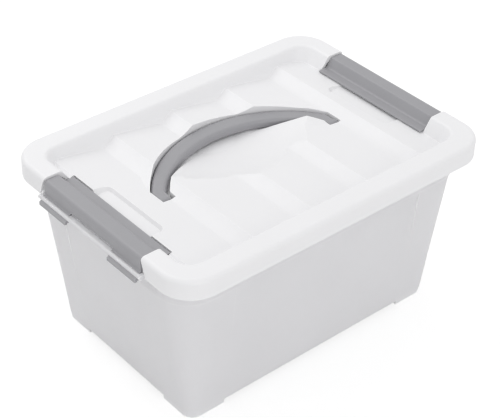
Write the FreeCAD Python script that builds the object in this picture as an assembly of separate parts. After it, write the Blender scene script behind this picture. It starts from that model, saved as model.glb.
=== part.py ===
import FreeCAD, Part
import math
import os

os.makedirs("parts", exist_ok=True)
Vector = FreeCAD.Vector

# Millimetres. Origin: middle of the footprint, on the ground. X along the length, Z up.

# Overall sizes
LENGTH = 279.4
WIDTH = 199.9
HEIGHT = 144.8

# Clearances between pieces
HINGE_GAP = 0.05
SLIDE_GAP = 0.3
SEAT_GAP = 0.2

# Lid: rim, skirt and the recess of its panel
LID_CORNER = 25.4
LID_EDGE_ROUND = 3.4
LID_WALL = 1.9
SKIRT_HEIGHT = 14.9
RIM_END_WIDTH = 15.2
RIM_SIDE_WIDTH = 17.45
RECESS_CORNER = 13.0
RECESS_END_DRAFT = 8.5
RECESS_SIDE_DRAFT = 5.5
RECESS_FLOOR_CORNER = 8.0
RECESS_DEPTH = 12.3
RECESS_FLOOR_ROUND = 6.0
RECESS_RIM_ROUND = 3.0

# Wedge ribs across the lid panel
RIB_COUNT = 5
RIB_PITCH = 51.9
RIB_SHIFT = -11.5
RIB_HEIGHT = 4.3
RIB_RISE = 13.0
RIB_SAG = 0.75

# Carry handle, lying folded to the back
HANDLE_HALF_SPAN = 82.0
HANDLE_OUTER_APEX = 53.7
HANDLE_SHOULDER_Y = 10.0
HANDLE_GRIP_WIDTH = 13.6
HANDLE_INNER_SHOULDER_Y = 3.4
HANDLE_THICK = 7.5
HANDLE_SINK = 0.5
HANDLE_EDGE_ROUND = 2.5
LEG_WIDTH = 8.0
LEG_OVERLAP = 2.6
PIVOT_RADIUS = 2.2
PIVOT_REACH = 4.8

# Pan of the lid round the handle
PAN_GAP = 0.7
PAN_INNER_GAP = 2.6
POCKET_WIDTH = 10.9
POCKET_FRONT = 4.6
BOWL_FRONT_Y = -15.0
BOWL_RADIUS = 64.0
BOWL_FLAT_RADIUS = 20.0
BOWL_EXTRA_DEPTH = 1.2
BOWL_LIP_RISE = 0.3
BOWL_SLOPE_SHARE = 0.36
BOWL_EDGE_RUN = 30.0
SHOULDER_INSET = 10.3
SHOULDER_Y = 13.0
SHOULDER_RADIUS = 22.0
SHOULDER_HEIGHT = 4.5
PIVOT_BOSS_HALF = 5.0

# Latches
LATCH_HALF_LENGTH = 54.4
LATCH_WALL = 1.9
LATCH_TOP_DROP = 1.6
LATCH_HEIGHT = 13.2
LATCH_INSET = 0.3
LATCH_TOP_WIDTH = 12.1
LATCH_SLOPE_RUN = 4.7
LATCH_TOP_ROUND = 3.2
LATCH_CREST_ROUND = 1.6
LATCH_MIDDLE_HEIGHT = 9.2
LIP_STEP = 6.9
LIP_LENGTH = 7.9
LIP_ROOT_ROUND = 2.4
LIP_UNDER_ROUND = 0.6
LIP_END_ROUND = 0.9
HOOK_START = 24.0
HOOK_WALL = 1.95
HOOK_TOP_ANGLE = 122.0
HOOK_END_ANGLE = 328.0
HOOK_LIP_START = 1.0
HOOK_LIP_REACH = 3.0
HOOK_LIP_DEPTH = 2.5

# Hinge bar and bracket for each latch, on the box
BAR_RADIUS = 1.7
BRACKET_MARGIN = 3.1
SLOT_ROOM = 3.3

# Notch of the lid for each latch, with its finger scoop
NOTCH_END_GAP = 0.8
NOTCH_BRACKET_GAP = 2.5
NOTCH_EDGE_EASE = 0.7
SCOOP_HALF_LENGTH = 33.5
SCOOP_REACH = 14.8
SCOOP_DEPTH = 1.3
SCOOP_DRAFT = 3.7
SCOOP_CORNER = 7.0
SCOOP_FLOOR_CORNER = 3.0

# Box body
BOX_WALL = 2.0
RIM_DROP = 5.6
FLANGE_SIDE_GAP = 0.75
FLANGE_END_WIDTH = 4.5
FLANGE_SIDE_WIDTH = 11.8
FLANGE_CORNER_STEP = 3.4
FLANGE_THICK = 2.0
FLANGE_LIP_DEPTH = 6.7
COLLAR_HEIGHT = 26.4
COLLAR_STEP = 1.5
BOX_TOP_CORNER = 24.0
END_DRAFT = 14.7
SIDE_DRAFT = 10.1
BOX_FLOOR_CORNER = 10.0
FOOT_HEIGHT = 4.2
FOOT_WALL = 3.0
FOOT_INSET = 0.8
PILLAR_PROUD = 0.6
PILLAR_END_RUN = 31.0
PILLAR_SIDE_RUN = 30.4

# Lid, worked out
LID_HALF_X = LENGTH / 2
LID_HALF_Y = WIDTH / 2
SKIRT_Z = HEIGHT - SKIRT_HEIGHT
RECESS_Z = HEIGHT - RECESS_DEPTH
RECESS_HALF_X = LID_HALF_X - RIM_END_WIDTH
RECESS_HALF_Y = LID_HALF_Y - RIM_SIDE_WIDTH
RECESS_FLOOR_HALF_X = RECESS_HALF_X - RECESS_END_DRAFT
RECESS_FLOOR_HALF_Y = RECESS_HALF_Y - RECESS_SIDE_DRAFT
RIB_TOP_Z = RECESS_Z + RIB_HEIGHT
RIB_FALL = RIB_PITCH - RIB_RISE

# Handle, worked out: each of its arcs runs through an apex and both shoulders
HANDLE_RISE = HANDLE_OUTER_APEX - HANDLE_SHOULDER_Y
HANDLE_OUTER_RADIUS = (HANDLE_HALF_SPAN ** 2 + HANDLE_RISE ** 2) / (2 * HANDLE_RISE)
HANDLE_OUTER_Y = HANDLE_OUTER_APEX - HANDLE_OUTER_RADIUS
LEG_X = HANDLE_HALF_SPAN - LEG_WIDTH
LEG_LENGTH = HANDLE_INNER_SHOULDER_Y + LEG_OVERLAP
HANDLE_INNER_APEX = HANDLE_OUTER_APEX - HANDLE_GRIP_WIDTH
HANDLE_INNER_RISE = HANDLE_INNER_APEX - HANDLE_INNER_SHOULDER_Y
HANDLE_INNER_RADIUS = (LEG_X ** 2 + HANDLE_INNER_RISE ** 2) / (2 * HANDLE_INNER_RISE)
HANDLE_INNER_Y = HANDLE_INNER_APEX - HANDLE_INNER_RADIUS
HANDLE_TOP_Z = RECESS_Z - HANDLE_SINK
HANDLE_LOW_Z = HANDLE_TOP_Z - HANDLE_THICK
PIVOT_Z = HANDLE_LOW_Z + HANDLE_THICK / 2
BOSS_X = HANDLE_HALF_SPAN + PAN_GAP
POCKET_INNER_X = BOSS_X - POCKET_WIDTH
SHOULDER_X = POCKET_INNER_X - SHOULDER_INSET

# Latch section, worked out for the latch on the +X side
HOOK_INNER_RADIUS = BAR_RADIUS + HINGE_GAP
HOOK_OUTER_RADIUS = HOOK_INNER_RADIUS + HOOK_WALL
LATCH_TOP_Z = HEIGHT - LATCH_TOP_DROP
LATCH_UNDER_Z = LATCH_TOP_Z - LATCH_WALL
LATCH_INNER_ROUND = LATCH_TOP_ROUND - LATCH_WALL
LATCH_FACE_X = LID_HALF_X - LATCH_INSET
LATCH_BACK_X = LATCH_FACE_X - LATCH_WALL
LATCH_CREST_X = LATCH_FACE_X - LATCH_TOP_WIDTH
LIP_TOP_Z = LATCH_TOP_Z - LIP_STEP
LIP_UNDER_Z = LIP_TOP_Z - LATCH_WALL
LIP_ROOT_X = LATCH_CREST_X - LATCH_SLOPE_RUN
LIP_END_X = LIP_ROOT_X - LIP_LENGTH
LATCH_SLOPE_LENGTH = math.hypot(LATCH_SLOPE_RUN, LIP_STEP)
BAR_X = LATCH_BACK_X + HOOK_OUTER_RADIUS
BAR_Z = LATCH_TOP_Z - LATCH_HEIGHT
BRACKET_HALF_LENGTH = LATCH_HALF_LENGTH + BRACKET_MARGIN
SLOT_INNER_X = BAR_X - HOOK_OUTER_RADIUS - SLOT_ROOM
NOTCH_WALL_X = LATCH_BACK_X - SEAT_GAP
NOTCH_HALF_TOP = LATCH_HALF_LENGTH + NOTCH_END_GAP
NOTCH_HALF_BOTTOM = BRACKET_HALF_LENGTH + NOTCH_BRACKET_GAP
NOTCH_EDGE_ROUND = LATCH_INNER_ROUND + NOTCH_EDGE_EASE
SCOOP_INNER_X = LIP_END_X - SCOOP_REACH

# Box body, worked out
RIM_Z = HEIGHT - RIM_DROP
COLLAR_Z = RIM_Z - COLLAR_HEIGHT
FLANGE_HALF_X = NOTCH_WALL_X - LID_WALL - SEAT_GAP
FLANGE_HALF_Y = LID_HALF_Y - LID_WALL - FLANGE_SIDE_GAP
FLANGE_CORNER = LID_CORNER - FLANGE_CORNER_STEP
BOX_TOP_HALF_X = FLANGE_HALF_X - FLANGE_END_WIDTH
BOX_TOP_HALF_Y = FLANGE_HALF_Y - FLANGE_SIDE_WIDTH
BOX_FLOOR_HALF_X = BOX_TOP_HALF_X - END_DRAFT
BOX_FLOOR_HALF_Y = BOX_TOP_HALF_Y - SIDE_DRAFT
COLLAR = (BOX_TOP_HALF_X + COLLAR_STEP, BOX_TOP_HALF_Y + COLLAR_STEP, BOX_TOP_CORNER + COLLAR_STEP)
MOUTH = tuple(size - BOX_WALL for size in COLLAR)

# Working values of the modelling: a hair's breadth, and a cut's run past a surface
HAIR = 0.01
PAST = 1.0


def rounded_face(half_x, half_y, radius, z):
    """Flat rounded rectangle centred on the Z axis."""
    inner_x = half_x - radius
    inner_y = half_y - radius
    diagonal = radius * math.sqrt(0.5)
    edges = []
    corners = ((1, -1), (1, 1), (-1, 1), (-1, -1))
    for index, (sx, sy) in enumerate(corners):
        along_x = Vector(sx * half_x, sy * inner_y, z)
        along_y = Vector(sx * inner_x, sy * half_y, z)
        middle = Vector(sx * (inner_x + diagonal), sy * (inner_y + diagonal), z)
        start, end = (along_y, along_x) if sx * sy < 0 else (along_x, along_y)
        edges.append(Part.Arc(start, middle, end).toShape())
        next_sx, next_sy = corners[(index + 1) % 4]
        if next_sx == sx:
            following = Vector(next_sx * half_x, next_sy * inner_y, z)
        else:
            following = Vector(next_sx * inner_x, next_sy * half_y, z)
        edges.append(Part.LineSegment(end, following).toShape())
    return Part.Face(Part.Wire(edges))


def prism(half_x, half_y, radius, z_low, z_high):
    return rounded_face(half_x, half_y, radius, z_low).extrude(Vector(0, 0, z_high - z_low))


def taper(low, low_z, high, high_z):
    """Solid between two rounded rectangles, each given as half length, half width and corner."""
    wires = [rounded_face(*low, low_z).OuterWire, rounded_face(*high, high_z).OuterWire]
    return Part.makeLoft(wires, True, True)


def block(x0, x1, y0, y1, z0, z1):
    return Part.makeBox(x1 - x0, y1 - y0, z1 - z0, Vector(x0, y0, z0))


def rounded_wire(points, radii):
    """Closed wire through points, with the given corner radius at each."""
    count = len(points)
    starts = []
    ends = []
    arcs = []
    for i in range(count):
        here = points[i]
        before = (points[i - 1] - here).normalize()
        after = (points[(i + 1) % count] - here).normalize()
        radius = radii[i]
        if radius <= 0:
            starts.append(here)
            ends.append(here)
            arcs.append(None)
            continue
        half = math.acos(max(-1.0, min(1.0, before.dot(after)))) / 2
        reach = radius / math.tan(half)
        bisector = (before + after).normalize()
        middle = here + bisector * (radius / math.sin(half) - radius)
        starts.append(here + before * reach)
        ends.append(here + after * reach)
        arcs.append(Part.Arc(starts[-1], middle, ends[-1]).toShape())
    edges = []
    for i in range(count):
        if arcs[i] is not None:
            edges.append(arcs[i])
        target = starts[(i + 1) % count]
        if ends[i].distanceToPoint(target) > HAIR / 10:
            edges.append(Part.LineSegment(ends[i], target).toShape())
    return Part.Wire(edges)


def side_prism(points, y_low, y_high, radii=None):
    """Profile drawn as (x, z) points, swept along Y."""
    corners = [Vector(x, y_low, z) for x, z in points]
    wire = rounded_wire(corners, radii or [0.0] * len(points))
    return Part.Face(wire).extrude(Vector(0, y_high - y_low, 0))


def end_prism(points, x_low, x_high):
    """Profile drawn as (y, z) points, swept along X."""
    corners = [Vector(x_low, y, z) for y, z in points]
    return Part.Face(Part.makePolygon(corners + corners[:1])).extrude(Vector(x_high - x_low, 0, 0))


def upright(radius, x, y, z_low, z_high):
    return Part.makeCylinder(radius, z_high - z_low, Vector(x, y, z_low))


def mirrored(shape):
    return shape.mirror(Vector(0, 0, 0), Vector(1, 0, 0))


def both_ends(shape):
    return shape.fuse(mirrored(shape))


def edges_at(shape, test):
    return [edge for edge in shape.Edges if test(edge.BoundBox)]


def at_level(z):
    return lambda bound: abs(bound.ZMin - z) < HAIR and abs(bound.ZMax - z) < HAIR


def inner_wall_x(z, offset):
    """X of the latch's sloping inner wall at a height, moved outward by an offset."""
    along = (z - LIP_TOP_Z) * LATCH_SLOPE_RUN / LIP_STEP
    return LIP_ROOT_X + along + offset * LATCH_SLOPE_LENGTH / LIP_STEP


# Box body
def box_outline(grow):
    low = (BOX_FLOOR_HALF_X + grow, BOX_FLOOR_HALF_Y + grow, BOX_FLOOR_CORNER + grow)
    high = (BOX_TOP_HALF_X + grow, BOX_TOP_HALF_Y + grow, BOX_TOP_CORNER + grow)
    return low, high


def make_feet():
    """Tapered corner pillars that run down past the floor as feet."""
    low, high = box_outline(0.0)
    foot = tuple(size - FOOT_INSET for size in low)
    pillar_top = tuple(size + PILLAR_PROUD for size in high)
    pillars = taper(foot, 0.0, pillar_top, COLLAR_Z)
    start_x = BOX_FLOOR_HALF_X - PILLAR_END_RUN
    start_y = BOX_FLOOR_HALF_Y - PILLAR_SIDE_RUN
    corners = both_ends(block(start_x, LENGTH, start_y, WIDTH, 0, HEIGHT))
    corners = corners.fuse(corners.mirror(Vector(0, 0, 0), Vector(0, 1, 0)))
    hollow = tuple(size - FOOT_WALL for size in foot)
    return pillars.common(corners).cut(prism(*hollow, -PAST, FOOT_HEIGHT))


def make_bracket():
    """Bracket and hinge bar of the latch on the +X side, slotted for the latch's two hooks."""
    bracket = block(BOX_TOP_HALF_X, BAR_X, -BRACKET_HALF_LENGTH, BRACKET_HALF_LENGTH,
                    BAR_Z - BAR_RADIUS, BAR_Z + BAR_RADIUS)
    slot_start = HOOK_START - 2 * SLIDE_GAP
    slot_end = LATCH_HALF_LENGTH + 2 * SLIDE_GAP
    for side in (-1, 1):
        y0, y1 = sorted((side * slot_start, side * slot_end))
        bracket = bracket.cut(block(SLOT_INNER_X, BAR_X + PAST, y0, y1, 0, HEIGHT))
    bar = Part.makeCylinder(BAR_RADIUS, 2 * BRACKET_HALF_LENGTH,
                            Vector(BAR_X, -BRACKET_HALF_LENGTH, BAR_Z), Vector(0, 1, 0))
    return bracket.fuse(bar)


def make_box():
    low, high = box_outline(0.0)
    shell = taper(low, FOOT_HEIGHT, high, COLLAR_Z)
    shell = shell.fuse(prism(*COLLAR, COLLAR_Z, RIM_Z))
    shell = shell.fuse(make_feet())
    flange = prism(FLANGE_HALF_X, FLANGE_HALF_Y, FLANGE_CORNER, RIM_Z - FLANGE_LIP_DEPTH, RIM_Z)
    under = prism(FLANGE_HALF_X - BOX_WALL, FLANGE_HALF_Y - BOX_WALL, FLANGE_CORNER - BOX_WALL,
                  RIM_Z - FLANGE_LIP_DEPTH - PAST, RIM_Z - FLANGE_THICK)
    shell = shell.fuse(flange.cut(under))
    shell = shell.fuse(both_ends(make_bracket()))
    inside_low, inside_high = box_outline(-BOX_WALL)
    inside = taper(inside_low, FOOT_HEIGHT + BOX_WALL, inside_high, COLLAR_Z + BOX_WALL)
    inside = inside.fuse(prism(*MOUTH, COLLAR_Z + BOX_WALL, HEIGHT))
    return shell.cut(inside).removeSplitter()


# Lid
def handle_plan(gap, inner_gap):
    """Plan of the folded handle grown by gaps, as a tall solid."""
    plan = upright(HANDLE_OUTER_RADIUS + gap, 0, HANDLE_OUTER_Y, 0, HEIGHT)
    plan = plan.cut(upright(HANDLE_INNER_RADIUS - inner_gap, 0, HANDLE_INNER_Y, 0, HEIGHT))
    span = HANDLE_HALF_SPAN + gap
    return plan.common(block(-span, span, 0, WIDTH, 0, HEIGHT))


def bowl_volume(wall):
    """Finger bowl inside the handle, grown by a wall thickness."""
    deep = HANDLE_LOW_Z - wall - BOWL_EXTRA_DEPTH
    lip_z = RECESS_Z + BOWL_LIP_RISE - wall
    flat = BOWL_FLAT_RADIUS
    rim = BOWL_RADIUS + wall
    middle = Vector((flat + rim) / 2, 0, deep + BOWL_SLOPE_SHARE * (lip_z - deep))
    curve = Part.Arc(Vector(flat, 0, deep), middle, Vector(rim, 0, lip_z)).toShape()
    outline = Part.makePolygon([Vector(rim, 0, lip_z), Vector(rim + BOWL_EDGE_RUN, 0, HEIGHT),
                                Vector(0, 0, HEIGHT), Vector(0, 0, deep), Vector(flat, 0, deep)])
    profile = Part.Face(Part.Wire([curve] + outline.Edges))
    dish = profile.revolve(Vector(0, 0, 0), Vector(0, 0, 1), 360)
    dish.translate(Vector(0, BOWL_FRONT_Y + BOWL_RADIUS, 0))
    return dish.common(upright(HANDLE_OUTER_RADIUS + PAN_GAP + wall, 0, HANDLE_OUTER_Y, 0, HEIGHT))


def pan_volume(wall):
    """Room for the handle, its leg pockets and the finger bowl, grown by a wall thickness."""
    floor = HANDLE_LOW_Z - wall
    channel = handle_plan(PAN_GAP + wall, PAN_INNER_GAP + wall)
    inner_x = POCKET_INNER_X - wall
    pocket = block(inner_x, BOSS_X + wall, -POCKET_FRONT - wall, LEG_LENGTH + wall, 0, HEIGHT)
    channel = channel.fuse(both_ends(pocket))
    channel = channel.common(block(-LENGTH, LENGTH, -WIDTH, WIDTH, floor - SLIDE_GAP, HEIGHT))
    channel = channel.cut(block(-inner_x, inner_x, -WIDTH, WIDTH, 0, floor))
    return channel.fuse(bowl_volume(wall))


def make_rib(crest):
    """One wedge rib: a hollowed rise to its crest, then a long fall to the foot of the next."""
    foot = Vector(crest - RIB_RISE, -WIDTH, RECESS_Z)
    top = Vector(crest, -WIDTH, RIB_TOP_Z)
    sag = Vector(crest - RIB_RISE / 2, -WIDTH, RECESS_Z + RIB_HEIGHT / 2 - RIB_SAG)
    rise = Part.Arc(foot, sag, top).toShape()
    outline = Part.makePolygon([top, Vector(crest + RIB_FALL, -WIDTH, RECESS_Z),
                                Vector(crest + RIB_FALL, -WIDTH, RECESS_Z - PAST),
                                Vector(crest - RIB_RISE, -WIDTH, RECESS_Z - PAST), foot])
    return Part.Face(Part.Wire([rise] + outline.Edges)).extrude(Vector(0, 2 * WIDTH, 0))


def make_ribs():
    ribs = []
    for index in range(RIB_COUNT):
        crest = RIB_SHIFT + (index - (RIB_COUNT - 1) / 2) * RIB_PITCH
        ribs.append(make_rib(crest))
    return ribs[0].multiFuse(ribs[1:])


def make_shoulder():
    """Low mound beside the leg pocket on the +X side, where the finger bowl runs out."""
    return Part.makeCone(SHOULDER_RADIUS, 0, SHOULDER_HEIGHT, Vector(SHOULDER_X, SHOULDER_Y, RECESS_Z))


def hollow_under(raised):
    """Room under the raised shapes of the panel, which leaves them a wall's thickness."""
    half_x = RECESS_FLOOR_HALF_X - RECESS_FLOOR_ROUND
    half_y = RECESS_FLOOR_HALF_Y - RECESS_FLOOR_ROUND
    hollow = raised.common(block(-half_x, half_x, -half_y, half_y, 0, HEIGHT))
    hollow.translate(Vector(0, 0, -LID_WALL))
    return hollow


def notch_parts():
    """Liner, cut and end plates of the lid's notch for the latch on the +X side."""
    bottom_z = BAR_Z + BAR_RADIUS + SLIDE_GAP
    pocket_z = LIP_UNDER_Z - SEAT_GAP
    pocket_x = LIP_END_X - 2 * SLIDE_GAP
    offset = LATCH_WALL + SLIDE_GAP
    surface = [(NOTCH_WALL_X, bottom_z), (NOTCH_WALL_X, LATCH_UNDER_Z),
               (inner_wall_x(LATCH_UNDER_Z, offset), LATCH_UNDER_Z),
               (inner_wall_x(pocket_z, offset), pocket_z), (pocket_x, pocket_z)]
    low_seat_z = LATCH_UNDER_Z - LID_WALL
    low_pocket_z = pocket_z - LID_WALL
    backing = [(pocket_x, low_pocket_z), (inner_wall_x(low_pocket_z, offset + LID_WALL), low_pocket_z),
               (inner_wall_x(low_seat_z, offset + LID_WALL), low_seat_z),
               (NOTCH_WALL_X - LID_WALL, low_seat_z), (NOTCH_WALL_X - LID_WALL, bottom_z)]
    rounds = [0.0, NOTCH_EDGE_ROUND] + [0.0] * (len(surface) + len(backing) - 2)
    half = NOTCH_HALF_TOP + LID_WALL
    liner = side_prism(surface + backing, -half, half, rounds)
    wide = NOTCH_HALF_BOTTOM + LID_WALL
    liner = liner.fuse(block(NOTCH_WALL_X - LID_WALL, NOTCH_WALL_X, -wide, wide, bottom_z, low_seat_z))

    above = surface + [(pocket_x, HEIGHT + PAST), (LENGTH, HEIGHT + PAST), (LENGTH, bottom_z)]
    rounds = [0.0, NOTCH_EDGE_ROUND] + [0.0] * (len(above) - 2)
    cut = side_prism(above, -NOTCH_HALF_TOP, NOTCH_HALF_TOP, rounds)
    flare = [(-NOTCH_HALF_BOTTOM, 0), (NOTCH_HALF_BOTTOM, 0), (NOTCH_HALF_BOTTOM, SKIRT_Z),
             (NOTCH_HALF_TOP, LATCH_TOP_Z), (-NOTCH_HALF_TOP, LATCH_TOP_Z), (-NOTCH_HALF_BOTTOM, SKIRT_Z)]
    cut = cut.fuse(end_prism(flare, NOTCH_WALL_X, LENGTH))
    plates = []
    for side in (-1, 1):
        y0, y1 = sorted((side * NOTCH_HALF_TOP, side * half))
        plates.append(block(pocket_x, NOTCH_WALL_X, y0, y1, low_seat_z, HEIGHT - LID_WALL))
    return liner, cut, plates


def scoop_volume(wall):
    """Finger scoop under the latch's lip on the +X side, grown by a wall thickness."""
    far_x = inner_wall_x(LIP_UNDER_Z, LATCH_WALL + SLIDE_GAP)
    half_x = far_x - SCOOP_INNER_X + wall
    half_y = SCOOP_HALF_LENGTH + wall
    low = (half_x - SCOOP_DRAFT, half_y - SCOOP_DRAFT, SCOOP_FLOOR_CORNER + wall)
    high = (half_x, half_y, SCOOP_CORNER + wall)
    scoop = taper(low, LIP_UNDER_Z - SCOOP_DEPTH - wall, high, RIB_TOP_Z)
    scoop = scoop.fuse(prism(*high, RIB_TOP_Z, HEIGHT))
    scoop.translate(Vector(far_x, 0, 0))
    return scoop.common(block(0, far_x + wall, -WIDTH, WIDTH, 0, HEIGHT))


def recess_volume():
    top = (RECESS_HALF_X, RECESS_HALF_Y, RECESS_CORNER)
    floor = (RECESS_FLOOR_HALF_X, RECESS_FLOOR_HALF_Y, RECESS_FLOOR_CORNER)
    recess = taper(floor, RECESS_Z, top, HEIGHT)
    recess = recess.makeFillet(RECESS_FLOOR_ROUND, edges_at(recess, at_level(RECESS_Z)))
    tray_top = tuple(size + 1.5 * LID_WALL for size in top)
    tray_floor = tuple(size + LID_WALL / 2 for size in floor)
    tray = taper(tray_floor, RECESS_Z - LID_WALL, tray_top, HEIGHT - LID_WALL / 2)
    return recess, tray


def round_recess_rim(dished):
    """Rounds the inner edge of the rim, where the recess opens in the lid's top."""
    rim_edges = []
    for edge in edges_at(dished, at_level(HEIGHT)):
        bound = edge.BoundBox
        inside_x = max(bound.XMax, -bound.XMin) < RECESS_HALF_X + PAST
        inside_y = max(bound.YMax, -bound.YMin) < RECESS_HALF_Y + PAST
        if inside_x and inside_y:
            rim_edges.append(edge)
    return dished.makeFillet(RECESS_RIM_ROUND, rim_edges)


def make_seat_rib():
    """Rib under the rim that rests on the box's flange."""
    half_x = FLANGE_HALF_X - 1.5 * BOX_WALL
    half_y = FLANGE_HALF_Y - 1.5 * BOX_WALL
    rib = prism(half_x, half_y, FLANGE_CORNER, RIM_Z, HEIGHT - LID_WALL / 2)
    return rib.cut(prism(half_x - LID_WALL, half_y - LID_WALL, FLANGE_CORNER - LID_WALL, 0, HEIGHT))


def flange_room():
    """Room that the lid leaves for the box's mouth and flange."""
    room = prism(FLANGE_HALF_X + SEAT_GAP, FLANGE_HALF_Y + SEAT_GAP, FLANGE_CORNER + SEAT_GAP, 0, RIM_Z)
    return room.cut(prism(*(size - SEAT_GAP for size in MOUTH), -PAST, HEIGHT))


def make_lid():
    outer = prism(LID_HALF_X, LID_HALF_Y, LID_CORNER, SKIRT_Z, HEIGHT)
    outer = outer.makeFillet(LID_EDGE_ROUND, edges_at(outer, at_level(HEIGHT)))
    cavity = prism(LID_HALF_X - LID_WALL, LID_HALF_Y - LID_WALL, LID_CORNER - LID_WALL,
                   SKIRT_Z - PAST, HEIGHT - LID_WALL)
    recess, tray = recess_volume()
    lid = outer.cut(cavity).fuse(tray).fuse(make_seat_rib())
    lid = lid.common(round_recess_rim(outer.cut(recess)))
    raised = make_ribs().fuse(both_ends(make_shoulder())).common(recess)
    lid = lid.fuse(raised).cut(hollow_under(raised))

    below_panel = raised.fuse(block(-LENGTH, LENGTH, -WIDTH, WIDTH, 0, RECESS_Z))
    pan_shell = pan_volume(LID_WALL).common(below_panel)
    scoop_shell = both_ends(scoop_volume(LID_WALL)).common(below_panel)
    boss = block(BOSS_X, BOSS_X + PIVOT_REACH + LID_WALL, -PIVOT_BOSS_HALF, PIVOT_BOSS_HALF,
                 HANDLE_LOW_Z - LID_WALL, RECESS_Z - LID_WALL / 2)
    lid = lid.fuse(pan_shell).fuse(scoop_shell).fuse(both_ends(boss))

    liner, notch, plates = notch_parts()
    lid = lid.cut(both_ends(notch)).fuse(both_ends(liner))
    for plate in plates:
        lid = lid.fuse(both_ends(plate.common(outer).cut(recess)))
    lid = lid.cut(pan_volume(0.0)).cut(both_ends(scoop_volume(0.0))).cut(flange_room())
    bore = Part.makeCylinder(PIVOT_RADIUS + HINGE_GAP, PIVOT_REACH + SLIDE_GAP,
                             Vector(BOSS_X - HAIR, 0, PIVOT_Z), Vector(1, 0, 0))
    return lid.cut(both_ends(bore)).removeSplitter()


# Carry handle
def make_handle():
    grip = handle_plan(0.0, 0.0).common(block(-LENGTH, LENGTH, -WIDTH, WIDTH, HANDLE_LOW_Z, HANDLE_TOP_Z))
    leg = block(LEG_X, HANDLE_HALF_SPAN, 0, LEG_LENGTH, HANDLE_LOW_Z, HANDLE_TOP_Z)
    leg = leg.common(upright(HANDLE_OUTER_RADIUS, 0, HANDLE_OUTER_Y, 0, HEIGHT))
    grip = grip.fuse(both_ends(leg)).removeSplitter()
    rounded = []
    for edge in grip.Edges:
        bound = edge.BoundBox
        level = at_level(HANDLE_TOP_Z)(bound) or at_level(HANDLE_LOW_Z)(bound)
        if level and bound.YMax > LEG_LENGTH:
            rounded.append(edge)
    grip = grip.makeFillet(HANDLE_EDGE_ROUND, rounded)
    end = Part.makeCylinder(HANDLE_THICK / 2, LEG_WIDTH, Vector(LEG_X, 0, PIVOT_Z), Vector(1, 0, 0))
    pin = Part.makeCylinder(PIVOT_RADIUS, PAN_GAP + PIVOT_REACH,
                            Vector(HANDLE_HALF_SPAN, 0, PIVOT_Z), Vector(1, 0, 0))
    return grip.fuse(both_ends(end)).fuse(both_ends(pin)).removeSplitter()


# Latches
def round_bar(radius, angle, y):
    """Point at an angle round the hinge bar's axis."""
    return Vector(BAR_X + radius * math.cos(angle), y, BAR_Z + radius * math.sin(angle))


def make_hook(y0, y1):
    """One C-hook round the hinge bar, with a straight lip along its open end."""
    start = math.radians(HOOK_TOP_ANGLE)
    stop = math.radians(HOOK_END_ANGLE)
    halfway = (start + stop) / 2
    arcs = []
    for radius in (HOOK_OUTER_RADIUS, HOOK_INNER_RADIUS):
        points = [round_bar(radius, angle, y0) for angle in (start, halfway, stop)]
        arcs.append(Part.Arc(*points).toShape())
    ends = []
    for angle in (start, stop):
        outer_end = round_bar(HOOK_OUTER_RADIUS, angle, y0)
        inner_end = round_bar(HOOK_INNER_RADIUS, angle, y0)
        ends.append(Part.LineSegment(outer_end, inner_end).toShape())
    outline = Part.Wire(Part.__sortEdges__(arcs + ends))
    hook = Part.Face(outline).extrude(Vector(0, y1 - y0, 0))
    lip_top = BAR_Z - HOOK_INNER_RADIUS - SLIDE_GAP
    lip = block(BAR_X + HOOK_LIP_START, BAR_X + HOOK_LIP_REACH, y0, y1, lip_top - HOOK_LIP_DEPTH, lip_top)
    return hook.fuse(lip)


def make_latch():
    section = [((LATCH_FACE_X, BAR_Z), 0.0),
               ((LATCH_FACE_X, LATCH_TOP_Z), LATCH_TOP_ROUND),
               ((LATCH_CREST_X, LATCH_TOP_Z), LATCH_CREST_ROUND),
               ((LIP_ROOT_X, LIP_TOP_Z), LIP_ROOT_ROUND),
               ((LIP_END_X, LIP_TOP_Z), LIP_END_ROUND),
               ((LIP_END_X, LIP_UNDER_Z), LIP_END_ROUND),
               ((inner_wall_x(LIP_UNDER_Z, LATCH_WALL), LIP_UNDER_Z), LIP_UNDER_ROUND),
               ((inner_wall_x(LATCH_UNDER_Z, LATCH_WALL), LATCH_UNDER_Z), 0.0),
               ((LATCH_BACK_X, LATCH_UNDER_Z), LATCH_INNER_ROUND),
               ((LATCH_BACK_X, BAR_Z), 0.0)]
    points = [point for point, radius in section]
    radii = [radius for point, radius in section]
    plate = side_prism(points, -LATCH_HALF_LENGTH, LATCH_HALF_LENGTH, radii)
    middle_low = LATCH_TOP_Z - LATCH_MIDDLE_HEIGHT
    plate = plate.cut(block(LATCH_BACK_X - PAST, LENGTH, -HOOK_START, HOOK_START, 0, middle_low))
    for side in (-1, 1):
        y0, y1 = sorted((side * HOOK_START, side * LATCH_HALF_LENGTH))
        plate = plate.fuse(make_hook(y0, y1))
    bar_room = Part.makeCylinder(HOOK_INNER_RADIUS, 2 * (LATCH_HALF_LENGTH + PAST),
                                 Vector(BAR_X, -LATCH_HALF_LENGTH - PAST, BAR_Z), Vector(0, 1, 0))
    return plate.cut(bar_room).removeSplitter()


latch_right = make_latch()
nodes = {
    "box_body": make_box(),
    "lid": make_lid(),
    "carry_handle": make_handle(),
    "latch_right": latch_right,
    "latch_left": mirrored(latch_right),
}
for name, shape in nodes.items():
    solid = shape.Solids[0]
    solid.exportStep("parts/" + name + ".step")
    print(name, "solids", len(shape.Solids), "valid", solid.isValid(), "volume", round(solid.Volume, 1))
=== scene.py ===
import math

import bpy
from mathutils import Matrix, Vector

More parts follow.
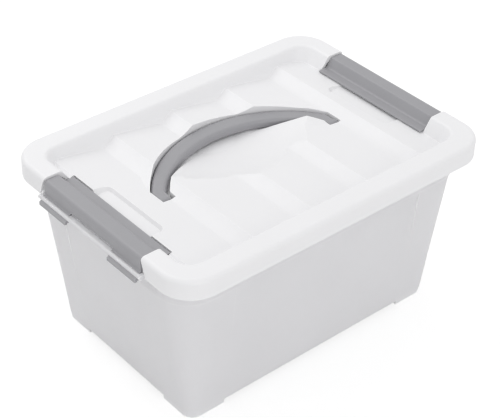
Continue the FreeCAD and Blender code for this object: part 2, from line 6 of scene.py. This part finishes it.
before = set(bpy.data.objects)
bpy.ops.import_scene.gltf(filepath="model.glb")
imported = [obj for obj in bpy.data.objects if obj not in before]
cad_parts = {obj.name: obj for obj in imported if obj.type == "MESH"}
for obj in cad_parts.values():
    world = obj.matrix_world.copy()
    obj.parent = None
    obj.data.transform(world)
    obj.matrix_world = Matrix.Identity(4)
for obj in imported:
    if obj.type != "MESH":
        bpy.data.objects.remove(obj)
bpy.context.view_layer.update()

# Camera, fitted to the photograph: angles in degrees, places in metres, lens and sensor in millimetres
CAMERA_AZIMUTH = -41.27
CAMERA_ELEVATION = 36.39
CAMERA_ROLL = 1.605
CAMERA_TARGET = Vector((0.00598, 0.00707, 0.080))
CAMERA_DISTANCE = 1.0685
CAMERA_LENS = 104.23
SENSOR_WIDTH = 36.0

# Linear colours of each plastic: its faces, the flow marks in them, and the painted highlight along its
# edges
LID_WHITE = (0.846, 0.844, 0.857)
LID_WHITE_DEEP = (0.834, 0.832, 0.845)
LID_WHITE_PAINTED_HIGHLIGHT = (0.985, 0.985, 0.990)
GREY = (0.330, 0.328, 0.345)
GREY_DEEP = (0.316, 0.314, 0.331)
GREY_PAINTED_HIGHLIGHT = (0.430, 0.428, 0.442)
FROST = (0.940, 0.936, 0.955)
FROST_DEEP = (0.915, 0.911, 0.930)
FROST_PAINTED_HIGHLIGHT = (0.990, 0.990, 0.995)

# Noises of the plastic: cycles per metre, and octaves of detail
FLOW_NOISE = (22.0, 3.0)
GLOSS_NOISE = (130.0, 4.0)
WAVE_NOISE = (60.0, 2.0)
GRAIN_NOISE = (2600.0, 2.0)

# A noise keeps to the middle of its range, so that middle is what gets spread over other values
NOISE_MIDDLE = (0.3, 0.7)
WHOLE = (0.0, 1.0)

# Surface of the plastic: range of roughness, and depth of its slow waves and fine grain in metres
SATIN_ROUGHNESS = (0.34, 0.44)
FROST_ROUGHNESS = (0.36, 0.46)
WAVE_DEPTH = 0.00012
GRAIN_DEPTH = 0.00002
PLASTIC_IOR = 1.49

# Painted highlight along the edges: reach in metres, rays that look for the edges, and the cosine between
# a point's own normal and the normal rounded over that reach, on an open face and on a full edge
HIGHLIGHT_REACH = 0.0011
HIGHLIGHT_SAMPLES = 8
FACE_ALIKE = 1.0
EDGE_ALIKE = 0.88

# Frosted walls: share of light let through on a face and along an edge
FACE_CLEAR = 0.28
EDGE_CLEAR = 0.08

# Rounded edges of the mouldings: width in metres, and steps across it
EDGE_ROUND = {"lid": 0.0005, "box_body": 0.0005, "carry_handle": 0.0004, "latch_left": 0.0004,
              "latch_right": 0.0004}
EDGE_SEGMENTS = 3

# Points closer than a distance in metres are joined, faces within an angle of each other are one face, and
# edges past an angle are sharp
WELD_DISTANCE = 0.00001
FLAT_ANGLE = math.radians(0.6)
EDGE_ANGLE = math.radians(28)

# Floor: width in metres, the grey that sends light back to the object, and the grey and glow that are seen
FLOOR_SIZE = 6.0
FLOOR_BOUNCE = 0.76
FLOOR_SHADE = 0.36
FLOOR_GLOW = 0.72

# World: strength of its light on the object, and strength where it is seen
WORLD_LIGHT = 0.81
WORLD_SEEN = 1.0

# Soft boxes: place and width in metres, power in watts
KEY_PLACE = Vector((0.0, 1.15, 1.5))
KEY_SIZE = 1.4
KEY_POWER = 8.3
FILL_PLACE = Vector((-0.7, -1.9, 0.55))
FILL_SIZE = 1.6
FILL_POWER = 9.0


def new_material(name):
    """A new material, its node tree and its Principled shader."""
    material = bpy.data.materials.new(name)
    material.use_nodes = True
    tree = material.node_tree
    return material, tree, tree.nodes["Principled BSDF"]


def noise(tree, scale, detail):
    """Noise that stays with the piece, of a scale in cycles per metre."""
    place = tree.nodes.new("ShaderNodeTexCoord")
    texture = tree.nodes.new("ShaderNodeTexNoise")
    texture.inputs["Scale"].default_value = scale
    texture.inputs["Detail"].default_value = detail
    tree.links.new(place.outputs["Object"], texture.inputs["Vector"])
    return texture.outputs["Fac"]


def remap(tree, value, source, target):
    """Carries a value from one range to another, and no further than its ends."""
    ranged = tree.nodes.new("ShaderNodeMapRange")
    ranged.inputs["From Min"].default_value = source[0]
    ranged.inputs["From Max"].default_value = source[1]
    ranged.inputs["To Min"].default_value = target[0]
    ranged.inputs["To Max"].default_value = target[1]
    tree.links.new(value, ranged.inputs["Value"])
    return ranged.outputs["Result"]


def set_colour(tree, socket, colour):
    """Gives a socket a fixed colour, or links it where the colour is another node's output."""
    if isinstance(colour, bpy.types.NodeSocket):
        tree.links.new(colour, socket)
    else:
        socket.default_value = (*colour, 1.0)


def blend_colours(tree, factor, first, second):
    """The first colour where the factor is 0, passing to the second where it is 1."""
    mix = tree.nodes.new("ShaderNodeMix")
    mix.data_type = "RGBA"
    tree.links.new(factor, mix.inputs["Factor"])
    set_colour(tree, mix.inputs["A"], first)
    set_colour(tree, mix.inputs["B"], second)
    return mix.outputs["Result"]


def bump(tree, height, depth, normal=None):
    """Bump of a depth in metres, on top of another where one is given."""
    node = tree.nodes.new("ShaderNodeBump")
    node.inputs["Distance"].default_value = depth
    tree.links.new(height, node.inputs["Height"])
    if normal is not None:
        tree.links.new(normal, node.inputs["Normal"])
    return node.outputs["Normal"]


def edge_highlight_share(tree):
    """Share of painted highlight: 1 along the edges of a moulding, falling to 0 on its open faces."""
    rounded = tree.nodes.new("ShaderNodeBevel")
    rounded.samples = HIGHLIGHT_SAMPLES
    rounded.inputs["Radius"].default_value = HIGHLIGHT_REACH
    surface = tree.nodes.new("ShaderNodeNewGeometry")
    alike = tree.nodes.new("ShaderNodeVectorMath")
    alike.operation = "DOT_PRODUCT"
    tree.links.new(rounded.outputs["Normal"], alike.inputs[0])
    tree.links.new(surface.outputs["Normal"], alike.inputs[1])
    return remap(tree, alike.outputs["Value"], (FACE_ALIKE, EDGE_ALIKE), WHOLE)


def moulded_plastic(name, colour, deep_colour, highlight_colour, gloss):
    """Satin plastic with faint flow marks, a painted highlight along its edges, uneven gloss, slow waves
    and a fine grain.

    Returns the material and its share of painted edge highlight."""
    material, tree, shader = new_material(name)
    flow = remap(tree, noise(tree, *FLOW_NOISE), NOISE_MIDDLE, WHOLE)
    face_colour = blend_colours(tree, flow, colour, deep_colour)
    edge = edge_highlight_share(tree)
    roughness = remap(tree, noise(tree, *GLOSS_NOISE), NOISE_MIDDLE, gloss)
    grain = bump(tree, noise(tree, *GRAIN_NOISE), GRAIN_DEPTH)
    waves = bump(tree, noise(tree, *WAVE_NOISE), WAVE_DEPTH, grain)
    # Painted highlight: the base colour turns lighter along every edge, standing in for the light the
    # edges catch
    tree.links.new(blend_colours(tree, edge, face_colour, highlight_colour), shader.inputs["Base Color"])
    tree.links.new(roughness, shader.inputs["Roughness"])
    tree.links.new(waves, shader.inputs["Normal"])
    shader.inputs["IOR"].default_value = PLASTIC_IOR
    return material, edge


def frosted_clear():
    """Frosted plastic: some light passes through its faces, blurred, and less along its edges."""
    material, edge = moulded_plastic("frosted_clear", FROST, FROST_DEEP, FROST_PAINTED_HIGHLIGHT, FROST_ROUGHNESS)
    tree = material.node_tree
    shader = tree.nodes["Principled BSDF"]
    clear = remap(tree, edge, WHOLE, (FACE_CLEAR, EDGE_CLEAR))
    tree.links.new(clear, shader.inputs["Transmission Weight"])
    return material


def soften(piece, width):
    """Joins points that meet, merges flat faces and rounds sharp edges a little, as a mould does."""
    weld = piece.modifiers.new("weld", "WELD")
    weld.merge_threshold = WELD_DISTANCE
    flat = piece.modifiers.new("flat", "DECIMATE")
    flat.decimate_type = "DISSOLVE"
    flat.angle_limit = FLAT_ANGLE
    edge = piece.modifiers.new("edge", "BEVEL")
    edge.width = width
    edge.segments = EDGE_SEGMENTS
    edge.limit_method = "ANGLE"
    edge.angle_limit = EDGE_ANGLE
    edge.harden_normals = True
    normals = piece.modifiers.new("normals", "WEIGHTED_NORMAL")
    normals.keep_sharp = True


def dress_mouldings():
    """Gives each moulding its plastic and its rounded edges."""
    white, _ = moulded_plastic("white", LID_WHITE, LID_WHITE_DEEP, LID_WHITE_PAINTED_HIGHLIGHT, SATIN_ROUGHNESS)
    grey, _ = moulded_plastic("grey", GREY, GREY_DEEP, GREY_PAINTED_HIGHLIGHT, SATIN_ROUGHNESS)
    finishes = {"box_body": frosted_clear(), "lid": white, "carry_handle": grey, "latch_left": grey,
                "latch_right": grey}
    for name, material in finishes.items():
        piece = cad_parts[name]
        piece.data.materials.clear()
        piece.data.materials.append(material)
        soften(piece, EDGE_ROUND[name])


def seen_share(tree):
    """1 for rays that see the stage directly, in a reflection or through the plastic, else 0."""
    path = tree.nodes.new("ShaderNodeLightPath")
    seen = path.outputs["Is Camera Ray"]
    for name in ("Is Glossy Ray", "Is Transmission Ray"):
        either = tree.nodes.new("ShaderNodeMath")
        either.operation = "MAXIMUM"
        tree.links.new(seen, either.inputs[0])
        tree.links.new(path.outputs[name], either.inputs[1])
        seen = either.outputs["Value"]
    return seen


def split_by_ray(tree, lighting, seen):
    """One shader for the rays that light the object, another for those that see the stage."""
    mix = tree.nodes.new("ShaderNodeMixShader")
    tree.links.new(seen_share(tree), mix.inputs["Fac"])
    tree.links.new(lighting, mix.inputs[1])
    tree.links.new(seen, mix.inputs[2])
    return mix.outputs["Shader"]


def matt(tree, grey):
    """Matt shader of a plain grey."""
    shader = tree.nodes.new("ShaderNodeBsdfDiffuse")
    shader.inputs["Color"].default_value = (grey, grey, grey, 1.0)
    return shader.outputs["BSDF"]


def floor_material():
    """White where it is seen, because of its glow, with a soft shadow from its grey."""
    material = bpy.data.materials.new("floor")
    material.use_nodes = True
    tree = material.node_tree
    tree.nodes.clear()
    glow = tree.nodes.new("ShaderNodeEmission")
    glow.inputs["Strength"].default_value = FLOOR_GLOW
    seen = tree.nodes.new("ShaderNodeAddShader")
    tree.links.new(matt(tree, FLOOR_SHADE), seen.inputs[0])
    tree.links.new(glow.outputs["Emission"], seen.inputs[1])
    surface = split_by_ray(tree, matt(tree, FLOOR_BOUNCE), seen.outputs["Shader"])
    output = tree.nodes.new("ShaderNodeOutputMaterial")
    tree.links.new(surface, output.inputs["Surface"])
    return material


def make_floor():
    """Square floor under the object."""
    half = FLOOR_SIZE / 2
    corners = [(-half, -half, 0), (half, -half, 0), (half, half, 0), (-half, half, 0)]
    mesh = bpy.data.meshes.new("floor")
    mesh.from_pydata(corners, [], [(0, 1, 2, 3)])
    mesh.materials.append(floor_material())
    floor = bpy.data.objects.new("floor", mesh)
    bpy.context.scene.collection.objects.link(floor)


def white_background(tree, strength):
    """White world shader of a strength."""
    background = tree.nodes.new("ShaderNodeBackground")
    background.inputs["Color"].default_value = (1.0, 1.0, 1.0, 1.0)
    background.inputs["Strength"].default_value = strength
    return background.outputs["Background"]


def make_world():
    """Even white studio light, seen as plain white."""
    world = bpy.data.worlds.new("studio")
    bpy.context.scene.world = world
    world.use_nodes = True
    tree = world.node_tree
    tree.nodes.clear()
    surface = split_by_ray(tree, white_background(tree, WORLD_LIGHT), white_background(tree, WORLD_SEEN))
    output = tree.nodes.new("ShaderNodeOutputWorld")
    tree.links.new(surface, output.inputs["Surface"])


def make_light(name, place, size, power):
    """Square soft box turned to the object."""
    lamp = bpy.data.lights.new(name, "AREA")
    lamp.size = size
    lamp.energy = power
    holder = bpy.data.objects.new(name, lamp)
    holder.location = place
    holder.rotation_euler = (CAMERA_TARGET - place).to_track_quat("-Z", "Y").to_euler()
    bpy.context.scene.collection.objects.link(holder)


def make_camera():
    """Camera at the photograph's angle."""
    azimuth = math.radians(CAMERA_AZIMUTH)
    elevation = math.radians(CAMERA_ELEVATION)
    level = math.cos(elevation)
    back = Vector((math.sin(azimuth) * level, -math.cos(azimuth) * level, math.sin(elevation)))
    right = Vector((0, 0, 1)).cross(back).normalized()
    up = back.cross(right)
    turn = Matrix((right, up, back)).transposed() @ Matrix.Rotation(math.radians(CAMERA_ROLL), 3, "Z")
    data = bpy.data.cameras.new("camera")
    data.lens = CAMERA_LENS
    data.sensor_width = SENSOR_WIDTH
    camera = bpy.data.objects.new("camera", data)
    camera.matrix_world = Matrix.Translation(CAMERA_TARGET + back * CAMERA_DISTANCE) @ turn.to_4x4()
    bpy.context.scene.collection.objects.link(camera)
    bpy.context.scene.camera = camera


dress_mouldings()
make_floor()
make_world()
make_light("key", KEY_PLACE, KEY_SIZE, KEY_POWER)
make_light("fill", FILL_PLACE, FILL_SIZE, FILL_POWER)
make_camera()
bpy.context.scene.view_settings.view_transform = "Standard"
